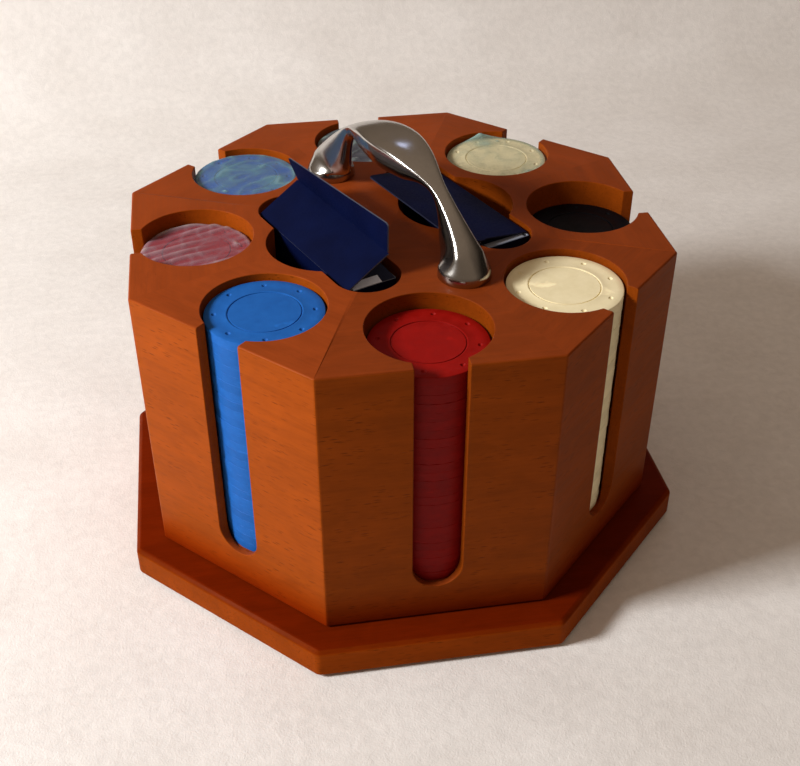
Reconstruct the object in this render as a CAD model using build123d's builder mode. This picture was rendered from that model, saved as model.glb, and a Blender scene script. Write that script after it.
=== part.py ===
from build123d import *
import os
from math import cos, radians, sin, tan

# Revolving caddy for poker chips: an octagonal wooden body of eight mitred staves,
# bored for eight columns of chips, with two wells for boxed card decks and an arched
# carrying handle. It turns on a pivot bolt and a nylon ring over a wider base plate.
# Millimetres, +Z up, the origin at the centre of the underside, -Y towards the viewer.

# Chips and the bores that hold them
sides = 8
chip_diameter = 39.0
chip_thickness = 3.4
chip_room = 0.8
chip_facets = 40
bore_web = 13.0
face_wall = 2.1
slot_width = 17.0

# Wooden body
floor_thickness = 13.2
body_corner_radius = 1.5
body_edge_radius = 0.8

# Base plate and the felt under it
felt_thickness = 1.5
felt_inset = 3.0
base_thickness = 11.2
base_overhang = 10.7
base_corner_radius = 3.5
base_edge = 1.5
turning_gap = 0.8

# Card decks in their tuck boxes, each box open with its lid resting at an angle
card_width = 63.0
card_height = 88.0
deck_thickness = 16.4
board = 0.5
box_room_across = 0.6
box_room_along = 0.2
lid_inset = 0.4
tongue_length = 10.2
tongue_inset = 1.2
tongue_corner = 4.0
flap_length = 13.0
flap_inset = 1.5
flap_taper = 5.0
left_lid_angle = 31.0
left_tongue_angle = 90.0
left_flap_angle = 15.0
right_lid_angle = 8.0
right_tongue_angle = 8.0
right_flap_angle = 0.0

# Wells for the decks and the round finger scoops across them
well_room_across = 2.2
well_room_along = 6.4
well_web = 5.9
deck_shift = 0.6
mouth_depth = 1.6
scoop_radius = 21.0
scoop_depth = 40.0

# Arched metal handle and the two washer-head screws that hold it
handle_centres = 90.0
handle_rise = 28.9
grip_half_width = 8.0
grip_half_depth = 5.4
shoulder_reach = 21.0
shoulder_drop = 1.9
neck_reach = 33.0
neck_drop = 9.4
neck_half_width = 3.8
neck_half_depth = 3.3
instep_reach = 39.0
instep_height = 11.5
instep_half_width = 5.4
instep_half_depth = 5.3
instep_lean = 28.0
neck_lean = 55.0
foot_radius = 9.0
foot_rim = 3.5
handle_stations = 24
handle_facets = 16
handle_wood = 22.0
screw_diameter = 4.0
screw_hold = 5.5
screw_head_radius = 5.0
screw_head_height = 2.4
screw_head_room = 1.0
screw_room = 0.2
thread_room = 0.05

# Pivot that the body turns on, and the nylon ring it glides on
pivot_radius = 4.0
pivot_room = 0.06
pivot_wood = 6.0
pivot_head_radius = 8.0
pivot_head_height = 3.2
pivot_washer_side = 20.0
pivot_washer_thickness = 1.5
pivot_well_room = 1.0
nut_radius = 7.5
nut_length = 14.0
glide_radius = 40.0
glide_width = 12.0
glide_facets = 40

# Clear film wrapped round four of the columns
film_thickness = 0.15
film_room = 0.1

# Where each column stands, in eighths of a turn from +X, and how many chips it holds
open_columns = {"black": (0, 24), "blue": (5, 26), "red": (6, 25), "white": (7, 26)}
wrapped_columns = {"white": (1, 26), "black": (2, 26), "blue": (3, 26), "red": (4, 25)}

# Sizes that follow from those above
step_angle = 360 / sides
half_step = radians(step_angle / 2)
chip_radius = chip_diameter / 2
bore_radius = chip_radius + chip_room
ring_radius = (2 * bore_radius + bore_web) / (2 * sin(half_step))
body_apothem = ring_radius + bore_radius + face_wall
body_circumradius = body_apothem / cos(half_step)
base_circumradius = (body_apothem + base_overhang) / cos(half_step)
felt_circumradius = base_circumradius - felt_inset / cos(half_step)
box_thickness = deck_thickness + 2 * (box_room_across + board)
box_width = card_width + 2 * (box_room_along + board)
box_height = card_height + 2 * board
body_height = floor_thickness + box_height + mouth_depth

base_top = felt_thickness + base_thickness
body_bottom = base_top + turning_gap
body_top = body_bottom + body_height
floor_level = body_bottom + floor_thickness
box_mouth = floor_level + box_height
pivot_roof = base_top - pivot_wood

well_radius = box_thickness / 2 + well_room_across
well_length = box_width + 2 * well_room_along
deck_offset = ring_radius * cos(half_step) - bore_radius - well_radius - well_web

# The handle lies over one pair of opposite corners, with a deck on either side of it.
# Seen from above, "across" points from the handle to the right-hand deck, and "along"
# runs down the handle to its foot nearest the viewer.
up = Vector(0, 0, 1)
across = Vector(cos(half_step), sin(half_step), 0)
along = Vector(across.Y, -across.X, 0)


def deck_plane(level):
    """A level plane whose x axis points across the handle."""
    return Plane(origin=(0, 0, level), x_dir=across, z_dir=up)


def octagon(plane, circumradius, corner_radius):
    """A regular octagon with rounded corners, its flats square to X and Y."""
    with BuildSketch(plane) as outline:
        RegularPolygon(circumradius, sides, rotation=step_angle / 2)
        fillet(outline.vertices(), corner_radius)
    return outline.sketch


os.makedirs("parts", exist_ok=True)


def save(piece, label):
    """Names a finished piece and writes it to its own STEP file."""
    piece.part.label = label
    export_step(piece.part, f"parts/{label}.step")


# Felt sheet glued under the base
with BuildPart() as felt_pad:
    extrude(octagon(Plane.XY, felt_circumradius, base_corner_radius), amount=felt_thickness)
save(felt_pad, "felt_pad")

# Base plate, with the pivot's hole and a square well under it for the bolt head and washer
with BuildPart() as base_plate:
    extrude(
        octagon(Plane.XY.offset(felt_thickness), base_circumradius, base_corner_radius),
        amount=base_thickness,
    )
    chamfer(base_plate.faces().sort_by(Axis.Z)[-1].edges(), base_edge)
    with BuildSketch(Plane.XY.offset(pivot_roof)):
        Circle(pivot_radius + pivot_room)
    extrude(amount=pivot_wood, mode=Mode.SUBTRACT)
    with BuildSketch(Plane.XY.offset(pivot_roof)):
        well_side = pivot_washer_side + 2 * pivot_well_room
        Rectangle(well_side, well_side)
    extrude(amount=-base_thickness, mode=Mode.SUBTRACT)
save(base_plate, "base_plate")

# Nylon ring glued to the base, which the body glides on
with BuildPart() as glide_ring:
    with BuildSketch(Plane.XY.offset(base_top)):
        RegularPolygon(glide_radius + glide_width, glide_facets)
        RegularPolygon(glide_radius, glide_facets, mode=Mode.SUBTRACT)
    extrude(amount=turning_gap)
save(glide_ring, "glide_ring")

# Square plate washer against the roof of the well
with BuildPart() as pivot_washer:
    with BuildSketch(Plane.XY.offset(pivot_roof)):
        Rectangle(pivot_washer_side, pivot_washer_side)
        Circle(pivot_radius + pivot_room, mode=Mode.SUBTRACT)
    extrude(amount=-pivot_washer_thickness)
save(pivot_washer, "pivot_washer")

# Pivot bolt, up through the base plate and into the nut in the body
pivot_head_top = pivot_roof - pivot_washer_thickness - pivot_room
with BuildPart() as pivot_bolt:
    with BuildSketch(Plane.XY.offset(pivot_head_top)):
        RegularPolygon(pivot_head_radius, 6)
    extrude(amount=-pivot_head_height)
    with BuildSketch(Plane.XY.offset(pivot_head_top)):
        Circle(pivot_radius)
    extrude(amount=body_bottom + nut_length - pivot_head_top)
save(pivot_bolt, "pivot_bolt")

# Long hexagonal nut let into the meeting point of the staves
with BuildPart() as pivot_nut:
    with BuildSketch(Plane.XY.offset(body_bottom)):
        RegularPolygon(nut_radius, 6)
        Circle(pivot_radius + thread_room, mode=Mode.SUBTRACT)
    extrude(amount=nut_length)
save(pivot_nut, "pivot_nut")

# Eight staves, each a wedge from the centre to one face with a bore and its slot
for number in range(sides):
    direction = radians(number * step_angle)
    outward = Vector(cos(direction), sin(direction), 0)
    sideways = Vector(-sin(direction), cos(direction), 0)
    with BuildPart() as stave:
        with BuildSketch(Plane.XY.offset(body_bottom)) as outline:
            RegularPolygon(body_circumradius, sides, rotation=step_angle / 2)
            fillet(outline.vertices(), body_corner_radius)
            with BuildLine():
                far = outward * body_circumradius
                spread = sideways * body_circumradius * tan(half_step)
                Polyline((0, 0), far - spread, far + spread, close=True)
            make_face(mode=Mode.INTERSECT)
        extrude(amount=body_height)
        rim = stave.faces().sort_by(Axis.Z)[-1].edges()
        fillet(rim.filter_by(lambda edge: (edge @ 0.5).dot(outward) > body_apothem * 0.9), body_edge_radius)

        # Chip bore, and the slot that opens it to the face
        with BuildSketch(Plane.XY.offset(floor_level)):
            with PolarLocations(ring_radius, 1, start_angle=number * step_angle):
                Circle(bore_radius)
        extrude(amount=body_height, mode=Mode.SUBTRACT)
        slot_foot = outward * ring_radius + up * (floor_level + slot_width / 2)
        with BuildSketch(Plane(origin=slot_foot, x_dir=sideways, z_dir=outward)):
            Circle(slot_width / 2)
            Rectangle(slot_width, body_height, align=(Align.CENTER, Align.MIN))
        extrude(amount=body_apothem, mode=Mode.SUBTRACT)

        # Wells for the two decks, and the finger scoops across them
        with BuildSketch(deck_plane(floor_level)):
            with Locations((deck_offset, 0), (-deck_offset, 0)):
                SlotOverall(well_length, 2 * well_radius, rotation=90)
        extrude(amount=body_height, mode=Mode.SUBTRACT)
        with BuildSketch(deck_plane(body_top)):
            with Locations((deck_offset, 0), (-deck_offset, 0)):
                Circle(scoop_radius)
        extrude(amount=-scoop_depth, mode=Mode.SUBTRACT)

        # Seat for the pivot's nut, and stepped holes for the handle's screws
        with BuildSketch(Plane.XY.offset(body_bottom)):
            RegularPolygon(nut_radius + thread_room, 6)
        extrude(amount=nut_length, mode=Mode.SUBTRACT)
        with BuildSketch(deck_plane(body_bottom)):
            with Locations((0, handle_centres / 2), (0, -handle_centres / 2)):
                Circle(screw_head_radius + screw_head_room)
        extrude(amount=body_height - handle_wood, mode=Mode.SUBTRACT)
        with BuildSketch(deck_plane(body_top)):
            with Locations((0, handle_centres / 2), (0, -handle_centres / 2)):
                Circle(screw_diameter / 2 + screw_room)
        extrude(amount=-body_height, mode=Mode.SUBTRACT)
    save(stave, f"body_stave_{number + 1}")

# Cast handle: an arch that is broad at the grip, slender at the necks and flared at the feet.
# Its middle line, its widths and the lean of its sections are smooth curves through the foot,
# instep, neck and grip. The sections are many-sided ovals, level at the feet and upright at
# the grip.
foot_reach = handle_centres / 2
instep = (instep_reach, instep_height)
neck = (neck_reach, handle_rise - neck_drop)
shoulder = (shoulder_reach, handle_rise - shoulder_drop)
half_arch = [(foot_reach, foot_rim), instep, neck, shoulder]
other_half = [(-reach, rise) for reach, rise in reversed(half_arch)]
arch = Spline(*half_arch, (0, handle_rise), *other_half, tangents=[(0, 1), (0, -1)])
instep_place = arch.param_at_point(instep)
neck_place = arch.param_at_point(neck)


def along_arch(at_foot, at_instep, at_neck, at_grip, turnover=0):
    """A curve of some measure against the place along the arch, from 0 to 1. The far half mirrors
    the near half, or takes it from the turnover."""
    near = [(0, at_foot), (instep_place, at_instep), (neck_place, at_neck)]
    far = [(1 - place, turnover - value if turnover else value) for place, value in reversed(near)]
    return Spline(*near, (0.5, at_grip), *far)


def value_at(curve, place):
    """Reads such a curve at one place along the arch."""
    low, high = 0.0, 1.0
    for _ in range(40):
        middle = (low + high) / 2
        low, high = (middle, high) if (curve @ middle).X < place else (low, middle)
    return (curve @ low).Y


half_widths = along_arch(foot_radius, instep_half_width, neck_half_width, grip_half_width)
half_depths = along_arch(foot_radius, instep_half_depth, neck_half_depth, grip_half_depth)
leans = along_arch(0, instep_lean, neck_lean, 90, turnover=180)
turns = [radians(360 * facet / handle_facets) for facet in range(handle_facets)]
with BuildPart() as handle:
    for station in range(handle_stations + 1):
        place = station / handle_stations
        point = arch @ place
        centre = along * point.X + up * (body_top + point.Y)
        lean = radians(value_at(leans, place))
        facing = up * cos(lean) - along * sin(lean)
        wide, deep = value_at(half_widths, place), value_at(half_depths, place)
        with BuildSketch(Plane(origin=centre, x_dir=across, z_dir=facing)):
            with BuildLine():
                Polyline(*[(wide * cos(turn), deep * sin(turn)) for turn in turns], close=True)
            make_face()
    loft(ruled=True)
    with BuildSketch(deck_plane(body_top)):
        with Locations((0, foot_reach), (0, -foot_reach)):
            Circle(foot_radius)
    extrude(amount=foot_rim)
    with BuildSketch(deck_plane(body_top)):
        with Locations((0, foot_reach), (0, -foot_reach)):
            Circle(screw_diameter / 2 + thread_room)
    extrude(amount=screw_hold + thread_room, mode=Mode.SUBTRACT)
save(handle, "handle")

# Washer-head screws that pull the handle down from inside the body
head_level = body_top - handle_wood
with BuildPart() as handle_screws:
    with BuildSketch(deck_plane(head_level)):
        with Locations((0, foot_reach), (0, -foot_reach)):
            Circle(screw_head_radius)
    extrude(amount=-screw_head_height)
    with BuildSketch(deck_plane(head_level)):
        with Locations((0, foot_reach), (0, -foot_reach)):
            Circle(screw_diameter / 2)
    extrude(amount=handle_wood + screw_hold)
save(handle_screws, "handle_screws")


def chip_stack(eighth, level, height):
    """Chips piled flat in one bore, from the given level."""
    with BuildPart() as stack:
        with BuildSketch(Plane.XY.offset(level)):
            with PolarLocations(ring_radius, 1, start_angle=eighth * step_angle):
                RegularPolygon(chip_radius, chip_facets)
        extrude(amount=height)
    return stack


# Open columns: the top chip lies loose on the pile below it
for colour, (eighth, count) in open_columns.items():
    pile_height = (count - 1) * chip_thickness
    pile = chip_stack(eighth, floor_level, pile_height)
    save(pile, f"chips_{colour}")
    top_chip = chip_stack(eighth, floor_level + pile_height, chip_thickness)
    save(top_chip, f"top_chip_{colour}")

# Wrapped columns: a full roll of chips in a tube of clear film, closed over its top
for colour, (eighth, count) in wrapped_columns.items():
    roll_height = count * chip_thickness
    roll = chip_stack(eighth, floor_level, roll_height)
    save(roll, f"roll_{colour}")
    with BuildPart() as film:
        with BuildSketch(Plane.XY.offset(floor_level)):
            with PolarLocations(ring_radius, 1, start_angle=eighth * step_angle):
                RegularPolygon(chip_radius + film_room + film_thickness, chip_facets)
        extrude(amount=roll_height + film_room + film_thickness)
        with BuildSketch(Plane.XY.offset(floor_level)):
            with PolarLocations(ring_radius, 1, start_angle=eighth * step_angle):
                RegularPolygon(chip_radius + film_room, chip_facets)
        extrude(amount=roll_height + film_room, mode=Mode.SUBTRACT)
    save(film, f"film_{colour}")


def deck_set(name, side, lid_angle, tongue_angle, flap_angle):
    """One boxed deck. The side is 1 for the well on the right and -1 for the left."""
    middle = side * (deck_offset + deck_shift)

    # Tuck box, folded from thin board and open at the top
    with BuildPart() as box:
        with BuildSketch(deck_plane(floor_level)):
            with Locations((middle, 0)):
                Rectangle(box_thickness, box_width)
        extrude(amount=box_height)
        with BuildSketch(deck_plane(floor_level + board)):
            with Locations((middle, 0)):
                Rectangle(box_thickness - 2 * board, box_width - 2 * board)
        extrude(amount=box_height, mode=Mode.SUBTRACT)
    save(box, f"deck_box_{name}")

    # Deck of cards, standing on edge in the box
    with BuildPart() as cards:
        with BuildSketch(deck_plane(floor_level + board)):
            with Locations((middle, 0)):
                Rectangle(deck_thickness, card_width)
        extrude(amount=card_height)
    save(cards, f"cards_{name}")

    # Dust flaps, folded in from the two short walls
    lean = radians(flap_angle)
    with BuildPart() as flaps:
        for end in (1, -1):
            fold = box_width / 2 - board - board * sin(lean)
            origin = across * middle + along * end * fold + up * (box_mouth - board)
            flap_plane = Plane(origin=origin, x_dir=across * end, z_dir=up * cos(lean) + along * end * sin(lean))
            half = box_thickness / 2 - board
            outer = end * side
            with BuildSketch(flap_plane):
                with BuildLine():
                    Polyline(
                        (outer * (half - flap_inset), 0),
                        (outer * (half - flap_inset - flap_taper), flap_length),
                        (-outer * half, flap_length),
                        (-outer * half, 0),
                        close=True,
                    )
                make_face()
            extrude(amount=board)
    save(flaps, f"dust_flaps_{name}")

    # Lid, hinged by a crease on the outer long wall
    rise = radians(lid_angle)
    inward = across * -side
    hinge = across * (middle + side * box_thickness / 2) + up * box_mouth
    lid_normal = up * cos(rise) + across * side * sin(rise)
    with BuildPart() as lid:
        with BuildSketch(Plane(origin=hinge, x_dir=along * -side, z_dir=lid_normal)):
            Rectangle(box_width - 2 * lid_inset, box_thickness, align=(Align.CENTER, Align.MIN))
        extrude(amount=board)
    save(lid, f"lid_{name}")

    # Tuck tongue, creased along the lid's free edge
    tip = radians(tongue_angle)
    crease = hinge + inward * box_thickness * cos(rise) + up * box_thickness * sin(rise) + lid_normal * board
    tongue_normal = up * cos(tip) + across * side * sin(tip)
    with BuildPart() as tongue:
        with BuildSketch(Plane(origin=crease, x_dir=along * -side, z_dir=tongue_normal)) as outline:
            Rectangle(box_width - 2 * tongue_inset, tongue_length, align=(Align.CENTER, Align.MIN))
            chamfer(outline.vertices().group_by(Axis.Y)[-1], tongue_corner)
        extrude(amount=-board)
    save(tongue, f"tongue_{name}")


deck_set("left", -1, left_lid_angle, left_tongue_angle, left_flap_angle)
deck_set("right", 1, right_lid_angle, right_tongue_angle, right_flap_angle)
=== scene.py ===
from math import cos, exp, pi, radians, sin

import bmesh
import bpy
from mathutils import Matrix, Vector, noise


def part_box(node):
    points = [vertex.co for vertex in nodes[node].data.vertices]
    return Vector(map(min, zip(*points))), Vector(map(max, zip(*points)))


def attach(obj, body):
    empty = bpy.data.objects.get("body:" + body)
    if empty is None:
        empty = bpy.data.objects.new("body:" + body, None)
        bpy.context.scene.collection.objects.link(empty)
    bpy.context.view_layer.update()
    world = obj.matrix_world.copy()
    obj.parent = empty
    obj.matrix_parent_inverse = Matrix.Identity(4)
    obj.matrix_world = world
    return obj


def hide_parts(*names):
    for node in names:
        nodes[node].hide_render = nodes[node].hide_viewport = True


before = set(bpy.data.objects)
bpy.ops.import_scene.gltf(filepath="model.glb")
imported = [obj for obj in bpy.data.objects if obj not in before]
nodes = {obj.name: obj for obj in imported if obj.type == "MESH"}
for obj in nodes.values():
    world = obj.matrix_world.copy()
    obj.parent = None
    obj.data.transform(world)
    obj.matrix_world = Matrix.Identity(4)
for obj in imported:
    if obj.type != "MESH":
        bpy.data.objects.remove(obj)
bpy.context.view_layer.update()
scene = bpy.context.scene
mm = 0.001

# The camera stands a little left of the front, about 46 cm from the middle of the caddy, and looks
# down over it. Its angles and lens come from the octagon's edges in the photograph. The trim is its
# last small turn, as an axis whose length is the angle.
picture_width = 800
focal_pixels = 1183.1
camera_azimuth = radians(-9.06)
camera_elevation = radians(35.39)
camera_distance = 462 * mm
camera_aim = Vector((0, 0, 50 * mm))
camera_trim = Vector((radians(0.42), radians(0.31), radians(0.24)))


def on_scene(name, data):
    """An object for a mesh, a lamp or a camera, put in the scene."""
    made = bpy.data.objects.new(name, data)
    scene.collection.objects.link(made)
    return made


to_camera = Vector((
    sin(camera_azimuth) * cos(camera_elevation),
    -cos(camera_azimuth) * cos(camera_elevation),
    sin(camera_elevation),
))
to_right = (-to_camera).cross(Vector((0, 0, 1))).normalized()
level_look = Matrix((to_right, to_camera.cross(to_right), to_camera))
trimmed_look = Matrix.Rotation(camera_trim.length, 3, camera_trim) @ level_look
camera = on_scene("camera", bpy.data.cameras.new("camera"))
camera.data.sensor_width = 36
camera.data.lens = focal_pixels / picture_width * camera.data.sensor_width
camera.data.clip_start = 0.01
camera_stand = Matrix.Translation(camera_aim + to_camera * camera_distance)
camera.matrix_world = camera_stand @ trimmed_look.transposed().to_4x4()
scene.camera = camera

# The light of the room: a neutral lamp low on the left, which leaves the right-hand faces in shade,
# a faint window behind on the right, and the warm light of the walls, which grows towards the ceiling
# and falls off on the right.
wall_colour = (1.0, 0.76, 0.56)
wall_strength, ceiling_strength = 0.15, 0.32
left_share, right_share = 1.10, 0.12
right_starts, right_ends = 0.56, 0.92
scene.view_settings.view_transform = "Standard"


def lamp(name, azimuth, elevation, distance, size, power, colour):
    """A square lamp that faces the middle of the caddy."""
    light = bpy.data.lights.new(name, "AREA")
    light.size = size
    light.energy = power
    light.color = colour
    turned = on_scene(name, light)
    direction = Vector((cos(azimuth) * cos(elevation), sin(azimuth) * cos(elevation), sin(elevation)))
    turned.location = camera_aim + direction * distance
    turned.rotation_euler = direction.to_track_quat("Z", "Y").to_euler()


def add_node(tree, kind, inputs=(), **settings):
    """Adds one node to a tree. An input is a number, a colour or another node's output."""
    made = tree.nodes.new(kind)
    for key, value in settings.items():
        setattr(made, key, value)
    for key, value in dict(inputs).items():
        if isinstance(value, bpy.types.NodeSocket):
            tree.links.new(value, made.inputs[key])
        else:
            made.inputs[key].default_value = value
    return made


def part_of(tree, vector, axis):
    """One part of a vector: 0 is X, 1 is Y, 2 is Z."""
    return add_node(tree, "ShaderNodeSeparateXYZ", {0: vector}).outputs[axis]


def between(tree, factor, low, high, at_low=0.0, at_high=1.0):
    """A factor, with the range from low to high opened out or squeezed, and held at its ends."""
    inputs = {0: factor, 1: low, 2: high, 3: at_low, 4: at_high}
    return add_node(tree, "ShaderNodeMapRange", inputs).outputs[0]


def combined(tree, operation, first, second):
    """Two numbers added, multiplied and so on."""
    return add_node(tree, "ShaderNodeMath", {0: first, 1: second}, operation=operation).outputs[0]


lamp(
    "left_lamp", azimuth=radians(-167), elevation=radians(33), distance=1.0, size=0.22, power=11.6,
    colour=(1.0, 0.995, 0.985),
)
lamp(
    "window", azimuth=radians(75), elevation=radians(50), distance=1.1, size=0.12, power=0.12,
    colour=(0.55, 0.66, 1.0),
)
room = bpy.data.worlds.new("room")
room.use_nodes = True
tree = room.node_tree
glance = add_node(tree, "ShaderNodeTexCoord").outputs["Generated"]
by_height = between(tree, part_of(tree, glance, 2), 0.0, 1.0, wall_strength, ceiling_strength)
by_side = between(tree, part_of(tree, glance, 0), right_starts, right_ends, left_share, right_share)
walls = tree.nodes["Background"]
walls.inputs["Color"].default_value = (*wall_colour, 1)
tree.links.new(combined(tree, "MULTIPLY", by_height, by_side), walls.inputs["Strength"])
scene.world = room

# The caddy stands on a cloth of woven cream cotton with a soft nap. The cloth lies under it in broad
# low folds, bends up behind it and hangs there. Its sizes are in metres.
cloth_reach, cloth_back, cloth_bend, cloth_rise = 1.6, 0.30, 0.10, 0.17
bend_steps = 12
# The first colour is painted shade, for the dips of the folds.
cream_fold_shade, cream_rise = (0.80, 0.765, 0.735), (0.87, 0.84, 0.815)


def new_finish(name, **sockets):
    """A material with one shader, whose even values are set on its own sockets."""
    material = bpy.data.materials.new(name)
    material.use_nodes = True
    tree = material.node_tree
    shader = tree.nodes["Principled BSDF"]
    for key, value in sockets.items():
        shader.inputs[key.replace("_", " ")].default_value = value
    place = tree.nodes.new("ShaderNodeTexCoord").outputs["Object"]
    return material, tree, shader, place


def scaled(tree, place, scale, turn=0.0, shift=(0, 0, 0)):
    """The piece's coordinates, turned about Z, scaled and moved. The scale is one number or three."""
    turned = add_node(tree, "ShaderNodeMapping", {"Vector": place, "Rotation": (0, 0, turn)}).outputs[0]
    scales = scale if isinstance(scale, tuple) else (scale, scale, scale)
    inputs = {"Vector": turned, "Scale": scales, "Location": shift}
    return add_node(tree, "ShaderNodeMapping", inputs).outputs[0]


def cloud(tree, place, scale, detail=2.0, roughness=0.5, distortion=0.0, turn=0.0, shift=(0, 0, 0)):
    """Soft noise from 0 to 1. Its scale says how many of its grains lie along a metre."""
    inputs = {
        "Vector": scaled(tree, place, scale, turn, shift), "Scale": 1.0,
        "Detail": detail, "Roughness": roughness, "Distortion": distortion,
    }
    return add_node(tree, "ShaderNodeTexNoise", inputs).outputs[0]


def full_colour(value):
    """A colour for a socket, where another node's output stays as it is."""
    return value if isinstance(value, bpy.types.NodeSocket) else (*value, 1)


def blended(tree, factor, first, second, way="MIX"):
    """Two colours laid over each other."""
    inputs = {0: factor, 6: full_colour(first), 7: full_colour(second)}
    return add_node(tree, "ShaderNodeMix", inputs, data_type="RGBA", blend_type=way).outputs[2]


def shaded(tree, colour, share):
    """A colour made lighter or darker by a number."""
    grey = add_node(tree, "ShaderNodeCombineColor", {0: share, 1: share, 2: share}).outputs[0]
    return blended(tree, 1.0, colour, grey, "MULTIPLY")


def feed(tree, shader, **sockets):
    """Feeds the shader's sockets from other nodes."""
    for key, value in sockets.items():
        tree.links.new(value, shader.inputs[key.replace("_", " ")])


def relief(tree, shader, height, depth):
    """Fine relief, of a depth in metres."""
    bump = add_node(tree, "ShaderNodeBump", {"Height": height, "Distance": depth, "Strength": 1.0})
    feed(tree, shader, Normal=bump.outputs[0])


cloth_finish, tree, shader, place = new_finish(
    "cream_cloth", Roughness=0.95, Sheen_Weight=0.15, Sheen_Roughness=0.6
)
nap = cloud(tree, place, 1300, detail=4, distortion=0.6)
tufts = cloud(tree, place, 260, detail=3, distortion=0.5)
folds = cloud(tree, place, (16, 26, 22), detail=3)
# Painted shade: the cloth is darker in the dips of its folds.
cream = blended(tree, between(tree, folds, 0.3, 0.7), cream_fold_shade, cream_rise)
feed(tree, shader, Base_Color=shaded(tree, cream, between(tree, tufts, 0.3, 0.7, 0.94, 1.03)))
fine_nap, fine_tufts = (combined(tree, "MULTIPLY", height, 0.10) for height in (nap, tufts))
fluff = combined(tree, "ADD", fine_nap, fine_tufts)
relief(tree, shader, combined(tree, "ADD", fluff, folds), 1.6 * mm)
outline = [(-cloth_reach, 0)]
for step in range(bend_steps + 1):
    angle = radians(90 * step / bend_steps)
    outline.append((cloth_back + cloth_bend * sin(angle), cloth_bend * (1 - cos(angle))))
outline.append((cloth_back + cloth_bend, cloth_rise))
cloth_mesh = bpy.data.meshes.new("cloth")
cloth_mesh.from_pydata(
    [(side * cloth_reach, y, z) for y, z in outline for side in (-1, 1)],
    [],
    [(2 * i, 2 * i + 1, 2 * i + 3, 2 * i + 2) for i in range(len(outline) - 1)],
)
cloth_mesh.materials.append(cloth_finish)
cloth_mesh.shade_smooth()
cloth = on_scene("cloth", cloth_mesh)

# A sheet of pressed green felt is glued under the base plate, so that it doesn't scratch the table.
# It keeps the plain shape of its CAD node, and only takes its finish here.
felt_dip, felt_rise = (0.015, 0.06, 0.03), (0.04, 0.13, 0.065)


def ramp(tree, factor, *stops):
    """Colours against a factor. Each stop is a position and a colour."""
    made = add_node(tree, "ShaderNodeValToRGB", {0: factor})
    elements = made.color_ramp.elements
    while len(elements) < len(stops):
        elements.new(0.5)
    for element, (position, colour) in zip(elements, stops):
        element.position = position
        element.color = (*colour, 1)
    return made.outputs[0]


def coat(thing, finish):
    """Gives a CAD node or a piece its one finish."""
    thing.data.materials.clear()
    thing.data.materials.append(finish)


felt_finish, tree, shader, place = new_finish("felt", Roughness=0.95)
fibres = cloud(tree, place, 1500, detail=4, distortion=1.5)
feed(tree, shader, Base_Color=ramp(tree, fibres, (0.3, felt_dip), (0.7, felt_rise)))
relief(tree, shader, fibres, 0.3 * mm)
coat(nodes["felt_pad"], felt_finish)

# The base plate is one beech board, cut to an octagon, with its top edge rounded over. It is stained
# red-brown and lacquered like the body above it; its top is painted darker than its sides, a painted
# shade.
sides = 8
step_angle = radians(360 / sides)
# The top colour is painted shade: darker than the sides for how the light falls on the top.
base_side, base_top_with_shade = (0.25, 0.043, 0.0025), (0.130, 0.011, 0.0006)
base_gloss, base_ease = 0.015, 0.5
stain_glow = (1.0, 0.50, 0.22)
foot_shade_height, foot_shade_shares = 16, (0.70, 0.30, 0.1)
below_base = -20  # A foot so far below the board keeps it free of the painted shade at the foot.


def looks_up(tree):
    """How far a face looks up, from -1 to 1."""
    return part_of(tree, add_node(tree, "ShaderNodeNewGeometry").outputs["Normal"], 2)


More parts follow.
